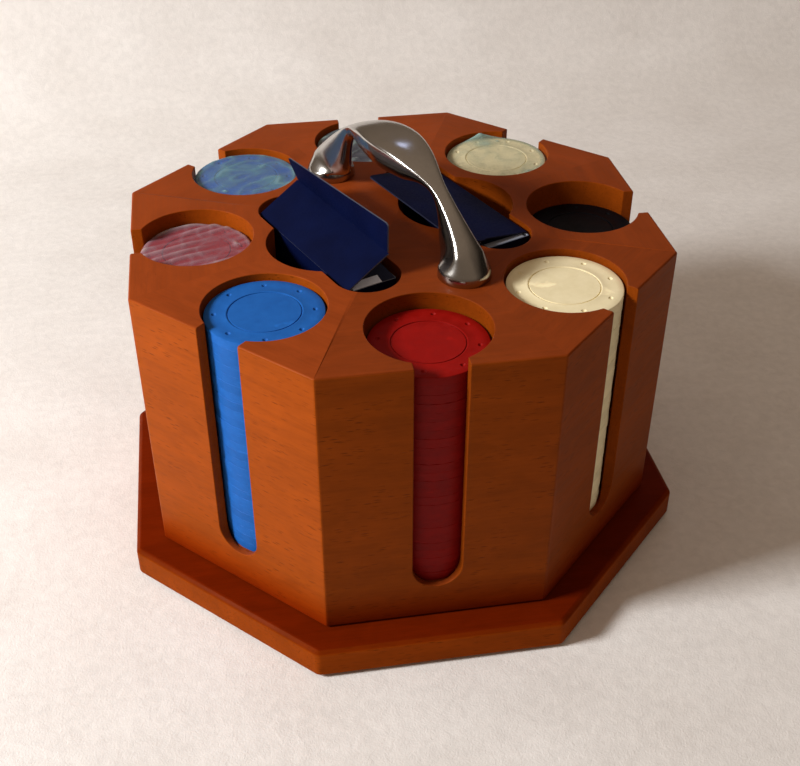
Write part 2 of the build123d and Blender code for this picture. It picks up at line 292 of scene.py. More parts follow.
def stained_beech(name, turn, seed, side, top, foot, gloss=0.06):
    """Stained beech under a thin satin lacquer. Its grain runs level, along X after the turn. The
    faces that look up take the top colour, which holds painted shade, and the sides are painted darker
    towards the foot, a painted shade where they meet the part below."""
    material, tree, shader, place = new_finish(
        name, Specular_IOR_Level=gloss, Specular_Tint=(*stain_glow, 1),
        Coat_Weight=gloss / 5, Coat_Roughness=0.16,
    )
    grain = {"turn": turn, "shift": (seed * 3.7, seed * 5.3, seed * 1.9)}
    clouds = cloud(tree, place, (70, 150, 150), detail=3, distortion=0.8, **grain)
    streaks = cloud(tree, place, (45, 900, 900), detail=5, roughness=0.65, **grain)
    bands = cloud(tree, place, (5, 110, 110), **grain)
    upwards = looks_up(tree)
    # Painted shade: the sides grow darker towards the foot, where they meet the part below.
    gathered = between(tree, part_of(tree, place, 2), foot * mm, (foot + foot_shade_height) * mm, 1.0, 0.0)
    deep = blended(tree, gathered, side, [part * share for part, share in zip(side, foot_shade_shares)])
    # Painted shade: the faces that look up take the top colour.
    stain_and_shade = blended(tree, between(tree, upwards, 0.2, 0.9), deep, top)
    shade = between(tree, clouds, 0.25, 0.75, 0.88, 1.10)
    shade = combined(tree, "ADD", shade, between(tree, streaks, 0.25, 0.75, -0.10, 0.10))
    shade = combined(tree, "ADD", shade, between(tree, bands, 0.3, 0.7, -0.07, 0.07))
    scattered = add_node(
        tree, "ShaderNodeMapping",
        {"Vector": scaled(tree, place, (280, 1650, 1650), **grain), "Rotation": (0.5, 0.7, 0.4)},
    ).outputs[0]
    inputs = {"Vector": scattered, "Scale": 1.0, "Randomness": 1.0}
    cells = add_node(tree, "ShaderNodeTexVoronoi", inputs)
    chosen = add_node(tree, "ShaderNodeSeparateColor", {0: cells.outputs["Color"]}).outputs[0]
    flecks = between(tree, cells.outputs["Distance"], 0.18, 0.50, 1.0, 0.0)
    for kept in (
        between(tree, chosen, 0.60, 0.80),
        between(tree, upwards, 0.2, 0.9, 1.0, 0.25),
        between(tree, clouds, 0.42, 0.62, 0.2, 1.0),
    ):
        flecks = combined(tree, "MULTIPLY", flecks, kept)
    shade = combined(tree, "MULTIPLY", shade, between(tree, flecks, 0.0, 1.0, 1.0, 0.54))
    feed(
        tree, shader, Base_Color=shaded(tree, stain_and_shade, shade),
        Roughness=between(tree, streaks, 0.3, 0.7, 0.36, 0.48),
    )
    pores = combined(tree, "SUBTRACT", combined(tree, "MULTIPLY", streaks, 0.5), flecks)
    relief(tree, shader, pores, 0.03 * mm)
    return material


def plain_copy(name, made):
    """The evaluated shape of an object, as a plain mesh on a new object."""
    settled = made.evaluated_get(bpy.context.evaluated_depsgraph_get())
    mesh = bpy.data.meshes.new_from_object(settled)
    mesh.name = name
    bpy.data.objects.remove(made)
    return on_scene(name, mesh)


def eased_copy(node, name, width, keep_sharp=lambda edge: False):
    """A copy of a CAD node's shape, with its hard edges eased. Edges that keep_sharp names stay."""
    same_point, same_plane = 0.002 * mm, radians(0.4)
    hard_from, sharp_from = radians(40), radians(32)
    mesh = nodes[node].data.copy()
    worked = bmesh.new()
    worked.from_mesh(mesh)
    bmesh.ops.remove_doubles(worked, verts=worked.verts, dist=same_point)
    bmesh.ops.dissolve_limit(worked, angle_limit=same_plane, verts=worked.verts, edges=worked.edges)
    eased = worked.edges.layers.float.new("bevel_weight_edge")
    for edge in worked.edges:
        hard = len(edge.link_faces) == 2 and edge.calc_face_angle(0) > hard_from
        edge[eased] = 1.0 if hard and not keep_sharp(edge) else 0.0
    for face in worked.faces:
        face.smooth = True
    worked.to_mesh(mesh)
    worked.free()
    made = on_scene(name, mesh)
    ease = made.modifiers.new("ease", "BEVEL")
    ease.limit_method = "WEIGHT"
    ease.width = width * mm
    ease.segments = 2
    ease.use_clamp_overlap = False
    ease.harden_normals = True
    mesh.set_sharp_from_angle(angle=sharp_from)
    return plain_copy(name, made)


def fitted(piece, body, slot, finish, *stood_for):
    """Gives a piece its finish and its body, and hides the CAD nodes it stands for. The slot is not
    used.
    """
    coat(piece, finish)
    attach(piece, body)
    if stood_for:
        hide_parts(*stood_for)


base_finish = stained_beech("base_beech", 0.0, 11, base_side, base_top_with_shade, below_base, base_gloss)
base = eased_copy("base_plate", "base_board", base_ease)
fitted(base, "base", "wood", base_finish, "base_plate")

# Under the middle, a zinc-plated bolt with a square washer comes up through the base plate into a
# long nut in the body. A nylon ring between the two carries the weight, and the body turns on it.
zinc_dull, zinc_bright = (0.50, 0.51, 0.53), (0.66, 0.66, 0.65)
nylon_shade, nylon_light = (0.74, 0.74, 0.69), (0.84, 0.84, 0.80)
steel_finish, tree, shader, place = new_finish("zinc_steel", Metallic=1.0)
spangle = cloud(tree, place, 420, detail=4)
feed(
    tree, shader, Base_Color=ramp(tree, spangle, (0.3, zinc_dull), (0.7, zinc_bright)),
    Roughness=between(tree, spangle, 0.3, 0.7, 0.25, 0.42),
)
relief(tree, shader, spangle, 0.02 * mm)
nylon_finish, tree, shader, place = new_finish("nylon", Roughness=0.45, Subsurface_Weight=0.1)
haze = cloud(tree, place, 300, detail=3)
feed(tree, shader, Base_Color=ramp(tree, haze, (0.3, nylon_shade), (0.7, nylon_light)))
relief(tree, shader, haze, 0.02 * mm)
for name in ("pivot_bolt", "pivot_washer", "pivot_nut", "handle_screws"):
    coat(nodes[name], steel_finish)
coat(nodes["glide_ring"], nylon_finish)

# The body is glued up from eight mitred staves of beech. Each was bored for a column of chips and
# slotted to its face. The grain of each runs level along its own face. The tone changes at the mitres:
# partly as each stave took the stain in its own way, and partly as painted shade on the faces of the
# two front staves, 7 and 8, and painted sheen on the tops, by how each stave's grain meets the lamp.
# Painted shade and sheen: the faces of staves 7 and 8, in front, are made darker, and the tops' tones
# stand partly for the sheen of the lamp on the grain.
side_tones_and_shade = [0.93, 0.96, 1.05, 0.98, 1.08, 1.04, 0.69, 0.79]
top_tones_and_sheen = [0.93, 0.96, 1.05, 0.98, 1.05, 1.07, 0.80, 0.86]
# The top colour differs from the sides' by painted shade and sheen.
wood_side, wood_top_shade_and_sheen = Vector((0.295, 0.055, 0.0035)), Vector((0.275, 0.048, 0.008))
body_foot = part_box("body_stave_1")[0].z / mm
stave_ease = 0.3


def on_mitre(edge):
    """Whether an edge borders the glued face between two staves, which stands upright and faces
    neither inwards nor outwards."""
    for face in edge.link_faces:
        middle = face.calc_center_median()
        outwards = Vector((middle.x, middle.y, 0)).normalized()
        if abs(face.normal.z) < 0.01 and abs(face.normal.dot(outwards)) < 0.005:
            return True
    return False


for number in range(sides):
    node = f"body_stave_{number + 1}"
    grain_turn = -(number * step_angle + pi / 2)
    finish = stained_beech(
        f"stave_beech_{number + 1}", grain_turn, number + 1,
        wood_side * side_tones_and_shade[number], wood_top_shade_and_sheen * top_tones_and_sheen[number], body_foot,
    )
    stave = eased_copy(node, f"stave_{number + 1}", stave_ease, on_mitre)
    fitted(stave, "carousel", "wood", finish, node)

# The handle is one casting in brushed nickel, screwed on from inside the body: a broad grip, slender
# necks that lean outwards, and feet like the toe of a slipper. Between its feet it is flat above and
# deep below, with its widest line near the top.
foot_reach, foot_rim = 45.0, 3.5
foot_levels = [(0.0, 8.75), (0.3, 9.0), (1.8, 9.0), (2.8, 8.85)]
arch_points = [(45.0, 3.5), (39.0, 9.8), (28.2, 23.7), (12.4, 26.8), (0.0, 27.3)]
arch_halves = [(8.6, 8.6), (4.5, 7.9), (2.7, 2.3), (7.2, 5.9), (9.1, 7.0)]
arch_leans = [0, 27, 46, 75, 90]
stations, facets = 64, 80
deck_turn = step_angle / 2
across = Vector((cos(deck_turn), sin(deck_turn), 0))
along = Vector((across.y, -across.x, 0))
body_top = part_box("handle")[0].z
nickel_dark, nickel_light = (0.38, 0.362, 0.34), (0.45, 0.432, 0.41)

# The widest line is moved outwards by this share of the half depth. An ellipse has the power 2, and
# a fuller section has more. Both come in over the fade, from the foot's rim up.
widest_shift, outer_power, inner_power, section_fade = 0.6, 2.4, 2.1, 3.5


def smooth_through(values, beyond, spot):
    """A smooth curve through evenly placed values, read at a spot from 0 to their last. Beyond is
    the value that follows on the other half."""
    first = min(int(spot), len(values) - 2)
    part = spot - first
    before = values[first - 1] if first else values[0]
    after = values[first + 2] if first + 2 < len(values) else beyond
    here, there = values[first], values[first + 1]
    slope_here, slope_there = (there - before) / 2, (after - here) / 2
    return (
        (2 * part**3 - 3 * part**2 + 1) * here + (part**3 - 2 * part**2 + part) * slope_here
        + (3 * part**2 - 2 * part**3) * there + (part**3 - part**2) * slope_there
    )


def handle_section(station):
    """Reach, rise, half width, half depth and lean of the casting at a station. The stations run up
    the first foot, along the arch, and down the second foot, which mirrors the first."""
    mirrored = station > stations
    if mirrored:
        station = 2 * stations - station
    if station < 0:
        rise, wide = foot_levels[len(foot_levels) + station]
        reach, deep, lean = foot_reach, wide, 0.0
    else:
        spot = (len(arch_points) - 1) * station / stations
        reaches, rises = zip(*arch_points)
        widths, depths = zip(*arch_halves)
        reach = smooth_through(reaches, -reaches[-2], spot)
        rise = smooth_through(rises, rises[-2], spot)
        wide = smooth_through(widths, widths[-2], spot)
        deep = smooth_through(depths, depths[-2], spot)
        lean = radians(smooth_through(arch_leans, 180 - arch_leans[-2], spot))
    return (-reach, rise, wide, deep, pi - lean) if mirrored else (reach, rise, wide, deep, lean)


def handle_ring(worked, station):
    """The ring of points round the casting at a station."""
    reach, rise, wide, deep, lean = handle_section(station)
    facing = Vector((0, 0, cos(lean))) - along * sin(lean)
    out = across.cross(facing).normalized()
    centre = along * reach * mm + Vector((0, 0, body_top + rise * mm))
    shaped = min(1, max(0, rise - foot_rim) / section_fade)
    shift = widest_shift * shaped
    centre += out * widest_shift * shaped * deep * mm
    ring = []
    for facet in range(facets):
        angle = 2 * pi * facet / facets
        c, s = cos(angle), sin(angle)
        power = 2 / (2 + ((inner_power if s >= 0 else outer_power) - 2) * shaped)
        x = wide * abs(c) ** power * (1 if c >= 0 else -1)
        y = -deep * abs(s) ** power * (1 + shift if s >= 0 else shift - 1)
        ring.append(worked.verts.new(centre + across * x * mm + out * y * mm))
    return ring


def skin(worked, rings):
    """Joins rings of points by faces and closes both ends. A ring of one point is a pole."""
    for low, high in zip(rings, rings[1:]):
        around = max(len(low), len(high))
        for i in range(around):
            j = (i + 1) % around
            if len(low) == 1:
                worked.faces.new((low[0], high[j], high[i]))
            elif len(high) == 1:
                worked.faces.new((low[i], low[j], high[0]))
            else:
                worked.faces.new((low[i], low[j], high[j], high[i]))
    for end in (rings[0][::-1], rings[-1]):
        if len(end) > 1:
            worked.faces.new(end)


def smooth_mesh(name, worked, sharp_from):
    """The worked shape as a mesh, smooth but for the edges sharper than an angle in degrees."""
    mesh = bpy.data.meshes.new(name)
    worked.to_mesh(mesh)
    worked.free()
    mesh.shade_smooth()
    mesh.set_sharp_from_angle(angle=radians(sharp_from))
    return mesh


worked = bmesh.new()
below = len(foot_levels)
skin(worked, [handle_ring(worked, station) for station in range(-below, 2 * stations + below + 1)])
bmesh.ops.recalc_face_normals(worked, faces=worked.faces)
cast_handle = on_scene("cast_handle", smooth_mesh("cast_handle", worked, sharp_from=50))
nickel_finish, tree, shader, place = new_finish("brushed_nickel", Metallic=1.0)
brush = cloud(tree, place, (2400, 110, 2400), detail=3, turn=deck_turn)
patina = cloud(tree, place, 60)
nickel = blended(tree, between(tree, patina, 0.3, 0.7), nickel_dark, nickel_light)
feed(
    tree, shader, Base_Color=shaded(tree, nickel, between(tree, brush, 0.3, 0.7, 0.95, 1.04)),
    Roughness=between(tree, brush, 0.3, 0.7, 0.165, 0.195),
)
relief(tree, shader, brush, 0.0003 * mm)
fitted(cast_handle, "carousel", "brushed_nickel", nickel_finish, "handle")

# The chips are moulded from a clay composite, 39 mm across and 3.4 mm thick, in four colours. The top
# one of a column shows a ring cut round its plain middle, and eight small dimples near its edge.
chip_radius, chip_thickness, chip_edge = 19.5, 3.4, 0.10
groove_radius, groove_depth, lip_radius, lip_height = 11.9, 0.30, 12.45, 0.08
dimples, dimple_ring, dimple_radius, dimple_depth = 8, 16.2, 0.72, 0.6
chip_field = chip_thickness - lip_height
chip_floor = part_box("chips_blue")[0].z / mm
chip_colours = {
    "black": ((0.0016, 0.0026, 0.0048), (0.0034, 0.0050, 0.0085)),
    "blue": ((0.010, 0.092, 0.355), (0.014, 0.112, 0.41)),
    "red": ((0.23, 0.0028, 0.0018), (0.29, 0.0055, 0.0035)),
    "white": ((0.83, 0.73, 0.46), (0.90, 0.80, 0.53)),
}
# Painted shade and light: each colour's share on its sides, then on its faces that look up.
chip_painted_shade_and_light = {"black": (1.0, 0.9), "blue": (1.06, 1.10), "red": (0.80, 1.12), "white": (1.0, 1.03)}
open_counts = {"black": 24, "blue": 26, "red": 25, "white": 26}
wrapped_counts = {"black": 26, "blue": 26, "red": 25, "white": 26}
top_turns = {"black": 0.2, "blue": 0.33, "red": 0.12, "white": 0.5}
open_sway, wrapped_sway = 0.10, 0.04
chip_facets, top_chip_facets = 28, 240


def spun(name, profile, facets, shape=None):
    """A round mesh from its half outline, listed from its foot up. A shape moves each point."""
    worked = bmesh.new()
    rings = []
    for radius, level in profile:
        around = 1 if radius == 0 else facets
        ring = []
        for i in range(around):
            angle = 2 * pi * i / facets
            spot = Vector((radius * cos(angle), radius * sin(angle), level))
            ring.append(worked.verts.new((shape(spot) if shape else spot) * mm))
        rings.append(ring)
    skin(worked, rings)
    return smooth_mesh(name, worked, sharp_from=40)


def chip_finish(colour):
    """Moulded clay composite: each chip a shade apart, faintly mottled, scuffed and pebbled. Its sides
    and its faces that look up are painted darker or lighter, a painted shade and light for how the lamp
    falls on them."""
    low, high = chip_colours[colour]
    material, tree, shader, place = new_finish(f"chip_{colour}_clay", Specular_IOR_Level=0.10)
    mottle = cloud(tree, place, (260, 260, 420), detail=4, roughness=0.6)
    scuffs = between(tree, cloud(tree, place, (110, 110, 1700), detail=3), 0.66, 0.74)
    above_floor = combined(tree, "SUBTRACT", part_of(tree, place, 2), chip_floor * mm)
    layer = combined(tree, "DIVIDE", above_floor, chip_thickness * mm)
    layer = combined(tree, "FLOOR", layer, 0.0)
    each = add_node(tree, "ShaderNodeTexWhiteNoise", {"W": layer}, noise_dimensions="1D").outputs[0]
    hue = blended(tree, between(tree, mottle, 0.3, 0.7), low, high)
    shade = between(tree, each, 0.0, 1.0, 0.92, 1.06)
    shade = combined(tree, "ADD", shade, combined(tree, "MULTIPLY", scuffs, 0.34))
    # Painted shade and light: the sides and the faces that look up take their own share.
    upwards = between(tree, looks_up(tree), 0.2, 0.9, *chip_painted_shade_and_light[colour])
    shade = combined(tree, "MULTIPLY", shade, upwards)
    feed(
        tree, shader, Base_Color=shaded(tree, hue, shade),
        Roughness=between(tree, mottle, 0.3, 0.7, 0.44, 0.60),
    )
    relief(tree, shader, cloud(tree, place, 2600), 0.012 * mm)
    return material


def with_dimples(spot):
    """Sinks the dimples into a chip's upper face."""
    if spot.z > chip_field - 0.01:
        for dimple in range(dimples):
            angle = 2 * pi * (dimple + 0.5) / dimples
            from_middle = Vector((spot.x - dimple_ring * cos(angle), spot.y - dimple_ring * sin(angle)))
            spot.z -= dimple_depth * max(0, 1 - (from_middle.length / dimple_radius) ** 4)
    return spot


def pile_tree_of(name):
    """Piles like pieces in a row, each a little turned and out of line."""
    tree = bpy.data.node_groups.new(name, "GeometryNodeTree")
    face = tree.interface
    face.new_socket("Geometry", in_out="OUTPUT", socket_type="NodeSocketGeometry")
    for title, kind in (
        ("Piece", "Object"), ("Count", "Int"), ("Step", "Vector"), ("Sway", "Vector"),
        ("Spin", "Float"), ("Seed", "Int"), ("Finish", "Material"),
    ):
        face.new_socket(title, in_out="INPUT", socket_type=f"NodeSocket{kind}")
    given = tree.nodes.new("NodeGroupInput").outputs
    shown = tree.nodes.new("NodeGroupOutput")
    line = add_node(tree, "GeometryNodeMeshLine", {"Count": given["Count"], "Offset": given["Step"]})
    least = add_node(
        tree, "ShaderNodeVectorMath", {0: given["Sway"], 1: (-1, -1, -1)}, operation="MULTIPLY"
    )
    sway = add_node(
        tree, "FunctionNodeRandomValue",
        {0: least.outputs[0], 1: given["Sway"], "Seed": given["Seed"]}, data_type="FLOAT_VECTOR",
    )
    swayed = add_node(
        tree, "GeometryNodeSetPosition", {"Geometry": line.outputs[0], "Offset": sway.outputs[0]}
    )
    full = add_node(tree, "ShaderNodeCombineXYZ", {"Z": given["Spin"]}).outputs[0]
    turned = add_node(
        tree, "FunctionNodeRandomValue",
        {0: (0, 0, 0), 1: full, "Seed": given["Seed"]}, data_type="FLOAT_VECTOR",
    )
    piece = add_node(tree, "GeometryNodeObjectInfo", {"Object": given["Piece"]})
    inputs = {
        "Points": swayed.outputs[0], "Instance": piece.outputs["Geometry"], "Rotation": turned.outputs[0]
    }
    piled = add_node(tree, "GeometryNodeInstanceOnPoints", inputs)
    real = add_node(tree, "GeometryNodeRealizeInstances", {"Geometry": piled.outputs[0]})
    finished = add_node(
        tree, "GeometryNodeSetMaterial", {"Geometry": real.outputs[0], "Material": given["Finish"]}
    )
    tree.links.new(finished.outputs[0], shown.inputs[0])
    return tree


def piled_up(name, where, **values):
    """A pile made by the tree, with its foot put where it stands. Lengths are in millimetres."""
    made = on_scene(name, bpy.data.meshes.new(name))
    piling = made.modifiers.new("piling", "NODES")
    piling.node_group = pile_tree
    for item in pile_tree.interface.items_tree:
        if item.in_out == "INPUT":
            value = values[item.name]
            lengths = item.name in ("Step", "Sway")
            piling[item.identifier] = [part * mm for part in value] if lengths else value
    piece = plain_copy(name, made)
    piece.data.transform(where)
    return piece


def standing(node):
    """Where a CAD node stands: its middle in X and Y, its foot and its top."""
    low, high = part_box(node)
    return (low.x + high.x) / 2, (low.y + high.y) / 2, low.z, high.z


def column_of_chips(name, node, count, sway, seed, finish):
    """A column of plain chips where the CAD node stands."""
    x, y, foot, _ = standing(node)
    return piled_up(
        name, Matrix.Translation((x, y, foot)), Piece=plain_chip, Count=count,
        Step=(0, 0, chip_thickness), Sway=(sway, sway, 0), Spin=2 * pi, Seed=seed, Finish=finish,
    )


def place_top_chip(name, node, turn):
    """The fully shaped chip at the top of the CAD node's column."""
    x, y, _, top = standing(node)
    mesh = top_chip_mesh.copy()
    centre = Vector((x, y, top - chip_thickness * mm))
    mesh.transform(Matrix.Translation(centre) @ Matrix.Rotation(turn, 4, "Z"))
    return on_scene(name, mesh)


chip_finishes = {colour: chip_finish(colour) for colour in chip_colours}
pile_tree = pile_tree_of("pile")
plain_chip = bpy.data.objects.new("plain_chip", spun("plain_chip", [
    (chip_radius, 0), (chip_radius, chip_thickness - chip_edge),
    (chip_radius - chip_edge, chip_thickness),
], chip_facets))
top_chip_mesh = spun("top_chip", [
    (0, 0), (chip_radius - chip_edge, 0), (chip_radius, chip_edge), (chip_radius, chip_field - 0.35),
    (chip_radius - 0.08, chip_field - 0.12), (chip_radius - 0.3, chip_field),
    *[(dimple_ring + 0.2 * step, chip_field) for step in range(4, -5, -1)],
    (lip_radius + 0.35, chip_field), (lip_radius + 0.12, chip_field + 0.07),
    (lip_radius - 0.12, chip_field + lip_height), (groove_radius + 0.22, chip_field),
    (groove_radius + 0.12, chip_field - groove_depth), (groove_radius - 0.12, chip_field - groove_depth),
    (groove_radius - 0.22, chip_field), (groove_radius - 2, chip_field), (0, chip_field),
], top_chip_facets, with_dimples)
for seed, (colour, count) in enumerate(open_counts.items()):
    finish = chip_finishes[colour]
    pile = column_of_chips(f"pile_{colour}", f"chips_{colour}", count - 1, open_sway, seed, finish)
    fitted(pile, f"column_{colour}", f"chip_{colour}", finish, f"chips_{colour}")
    top = place_top_chip(f"loose_{colour}", f"top_chip_{colour}", top_turns[colour])
    fitted(top, f"column_{colour}", f"chip_{colour}", finish, f"top_chip_{colour}")
for seed, (colour, count) in enumerate(wrapped_counts.items()):
    finish = chip_finishes[colour]
    node = f"roll_{colour}"
    pile = column_of_chips(f"rolled_{colour}", node, count - 1, wrapped_sway, seed + 20, finish)
    fitted(pile, f"wrapped_{colour}", f"chip_{colour}", finish)
    top = place_top_chip(f"rolled_top_{colour}", node, 0.8 + seed)
    fitted(top, f"wrapped_{colour}", f"chip_{colour}", finish, node)

# Four of the columns are still wrapped in clear shrink film, drawn tight round the chips and gathered
# over the top one in fine wrinkles, with a tuft where the ends were sealed. It is 0.04 mm thick, clear
# where it lies flat and hazy where it is gathered. The haze's pale tints, and its ring near the rim,
# are partly painted sheen, standing in for reflections on the wrinkles.
film_sheet, film_side, film_over, film_shoulder = 0.04, 19.74, 0.14, 1.0
film_facets, side_rows, top_rings, ring_step = 144, 40, 38, 0.5
# Painted sheen: the pale ring near the rim stands partly for reflections on the film.
rim_radius, rim_width, rim_haze_and_sheen = 18.6, 1.4, 0.4
pucker_end, pucker_fade = 19.8, 1.5
fine_haze_and_sheen, broad_haze_and_sheen, broad_run = 0.6, 0.25, (7, 9)
crease_haze_and_sheen, crease_sharpness = 0.5, 6
crease_turn, crease_size, crease_length = 0.025, 7, 34
ripple_height, ripple_size, ripple_length = 0.08, 4, 9
# Painted sheen: the film's pale tints stand partly for reflections on it.
film_hues_and_sheen = {
    "blue": ((0.27, 0.30, 0.43), (0.22, 0.42, 0.46), (0.45, 0.72, 0.72)),
    "red": ((0.42, 0.24, 0.31), (0.50, 0.34, 0.40), (0.62, 0.55, 0.50)),
    "white": ((0.31, 0.36, 0.26), (0.33, 0.48, 0.43), (0.42, 0.66, 0.64)),
    "black": ((0.32, 0.32, 0.39), (0.33, 0.42, 0.43), (0.50, 0.72, 0.70)),
}


def shrink_film(colour):
    """Clear film, hazy where it is gathered. Each crease takes a tint from the chips below it. The
    pale tinted haze is partly painted sheen, for reflections on the wrinkles.
    """
    material, tree, shader, place = new_finish(
        f"film_on_{colour}", Roughness=0.16, IOR=1.5, Specular_IOR_Level=0.6
    )
    crease = add_node(tree, "ShaderNodeAttribute", attribute_name="crease").outputs["Fac"]
    crinkle = cloud(tree, place, 420, detail=4, distortion=1.0)
    # Painted sheen: where it is hazy, the film is paler and less clear, partly for reflections on the
    # wrinkles.
    haze = combined(tree, "ADD", crease, between(tree, crinkle, 0.5, 0.72, 0.0, 0.12))
    feed(
        tree, shader, Base_Color=ramp(tree, crease, *zip((0.0, 0.45, 1.0), film_hues_and_sheen[colour])),
        Alpha=between(tree, haze, 0.0, 1.0, 0.11, 0.60),
    )
    relief(tree, shader, crinkle, 0.04 * mm)
    return material


def ridged(spot, across_size, along_size, turn, seed):
    """Fine sharp ridges from 0 to 1, of a spacing in millimetres across and along their run."""
    p = (spot.y * cos(turn) - spot.x * sin(turn)) / across_size
    q = (spot.x * cos(turn) + spot.y * sin(turn)) / along_size
    return max(0, 1 - 3.2 * abs(noise.noise(Vector((p, q, seed + spot.z / 40)))))


def pleated(spot, across_size, along_size, turn, seed):
    """Long even pleats from 0 to 1, which drift and fade a little along their run."""
    p = (spot.y * cos(turn) - spot.x * sin(turn)) / across_size
    q = (spot.x * cos(turn) + spot.y * sin(turn)) / along_size
    drift = noise.noise(Vector((q, p * 0.4, seed)))
    fade = min(1, max(0, 0.75 + noise.noise(Vector((q * 1.7, p, seed + 4)))))
    return fade * (0.5 + 0.5 * sin(2 * pi * (p + 0.35 * drift))) ** 0.7


def near_tuft(spot, azimuth, distance, thick, broad):
    """How near a spot is to the middle of a tuft, from 0 to 1. The tuft lies along the rim."""
    outwards = spot.x * cos(azimuth) + spot.y * sin(azimuth) - distance
    sideways = spot.y * cos(azimuth) - spot.x * sin(azimuth)
    return exp(-((outwards / thick) ** 2) - (sideways / broad) ** 2)


def film_skin(colour, seed, gather, pattern, run, tufts):
    """The film of one column. Its wrinkles have a pattern, and a run: their spacing across and
    along, their turn and their depth. A tuft is an azimuth, a distance, how thick and broad it is,
    how far it rises, and how densely the film is gathered there."""
    x, y, foot, top = standing(f"roll_{colour}")
    foot, top = foot / mm, top / mm + film_over
    shoulder = top - film_shoulder
    across_size, along_size, turn, depth = run

    def crease_at(spot):
        """How hazy the film is at a spot, from 0 to 1: how much it is gathered there, with a pale ring
        near the rim. The haze is partly painted sheen.
        """
        if spot.z < shoulder:
            slanted = Matrix.Rotation(spot.z * crease_turn, 3, "Z") @ spot
            level = spot.z / crease_length + seed
            line = noise.noise(Vector((slanted.x / crease_size, slanted.y / crease_size, level)))
            return crease_haze_and_sheen * gather * max(0, 1 - crease_sharpness * abs(line))
        rim = max(0, 1 - abs(spot.xy.length - rim_radius) / rim_width)
        fine = pattern(spot, across_size, along_size, turn, seed)
        broad = ridged(spot, *broad_run, turn + 1.0, seed + 9)
        gathered = sum(strength * near_tuft(spot, *tuft) for *tuft, _, strength in tufts)
        wrinkled = gather * (fine_haze_and_sheen * fine**1.5 + broad_haze_and_sheen * broad**2)
        return min(1, wrinkled + rim_haze_and_sheen * rim + gathered)

    def shape(spot):
        """Puckers the top, lifts the tufts and ripples the side."""
        if spot.z < shoulder:
            level = spot.z / ripple_length + seed
            line = Vector((spot.x / ripple_size, spot.y / ripple_size, level))
            wider = 1 + ripple_height * noise.noise(line) / film_side
            return Vector((spot.x * wider, spot.y * wider, spot.z))
        fade = min(1, (pucker_end - spot.xy.length) / pucker_fade)
        lift = depth * pattern(spot, across_size, along_size, turn, seed) ** 1.5 * fade
        for *tuft, height, _ in tufts:
            frill = 0.75 + 0.25 * ridged(spot, 5.0, 3.0, tuft[0], seed + 3)
            lift += height * near_tuft(spot, *tuft) * frill
        return Vector((spot.x, spot.y, spot.z + lift))

    side = [(film_side, foot + (shoulder - foot) * row / side_rows) for row in range(side_rows + 1)]
    rounding = [(film_side - 0.12, top - 0.5), (film_side - 0.4, top - 0.15)]
    over = [(ring_step * ring, top) for ring in range(top_rings, -1, -1)]
    flat = spun(f"film_skin_{colour}", side + rounding + over, film_facets)
    made = on_scene(f"film_skin_{colour}", flat)
    worked = bmesh.new()
    worked.from_mesh(flat)
    floor = [face for face in worked.faces if len(face.verts) > 4]
    bmesh.ops.delete(worked, geom=floor, context="FACES_ONLY")
    creases = worked.verts.layers.float.new("crease")
    for vert in worked.verts:
        spot = vert.co / mm
        vert[creases] = crease_at(spot)
        vert.co = shape(spot) * mm
    worked.to_mesh(flat)
    worked.free()
    flat.shade_smooth()
    sheet = made.modifiers.new("sheet", "SOLIDIFY")
    sheet.thickness = film_sheet * mm
    sheet.offset = -1
    piece = plain_copy(f"film_skin_{colour}", made)
    piece.data.transform(Matrix.Translation((x, y, 0)))
    fitted(piece, f"wrapped_{colour}", "clear_film", shrink_film(colour), f"film_{colour}")


film_skin("blue", 2.3, 0.5, ridged, (7.0, 10.0, radians(25), 0.3), [
    (radians(-35), 12.0, 5.0, 6.0, 0.3, 0.45), (radians(165), 9.0, 5.0, 5.0, 0.3, 0.35),
    (radians(75), 8.0, 3.0, 9.0, 0.3, 0.35), (radians(-125), 15.0, 0.8, 1.0, 0.5, 0.8),
])
film_skin("red", 5.1, 0.75, pleated, (4.2, 34.0, radians(21), 0.9), [
    (radians(-60), 15.0, 2.5, 4.0, 0.4, 0.45), (radians(10), 14.0, 0.9, 2.2, 0.5, 0.6),
])
film_skin("white", 7.7, 0.22, ridged, (6.5, 14.0, radians(70), 0.15), [
    (radians(97), 17.8, 1.0, 4.6, 3.0, 0.7), (radians(97), 13.5, 3.4, 4.4, 0.3, 0.5),
    (radians(-58), 17.2, 1.6, 3.0, 0.5, 0.5), (radians(75), 15.5, 0.5, 0.8, 0.5, 0.8),
])
film_skin("black", 11.9, 0.8, ridged, (3.4, 14.0, radians(40), 0.5), [
    (radians(-70), 14.0, 2.0, 4.0, 0.5, 0.5), (radians(120), 12.0, 3.0, 4.0, 0.6, 0.4),
])

# Each deck of cards stands on its long edge in its box: 54 cards of 63 by 88 mm with rounded corners,
# cut from coated card stock. Only their white edges would show.
card_width, card_height, card_corner, card_count, deck_thickness = 63.0, 88.0, 3.5, 54, 16.4
card_pitch = deck_thickness / card_count
card_fill = 0.96
deck_middle = 27.6
cards_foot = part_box("cards_left")[0].z
core_grey, card_white = (0.60, 0.60, 0.59), (0.84, 0.83, 0.80)


def rounded(half_x, half_y, radius, steps):
    """The outline of a rectangle with rounded corners, anticlockwise."""
    points = []
    for corner, (sx, sy) in enumerate(((1, 1), (-1, 1), (-1, -1), (1, -1))):
        for step in range(steps + 1):
            angle = pi / 2 * (corner + step / steps)
            x = sx * (half_x - radius) + radius * cos(angle)
            y = sy * (half_y - radius) + radius * sin(angle)
            points.append((x, y))
    return points


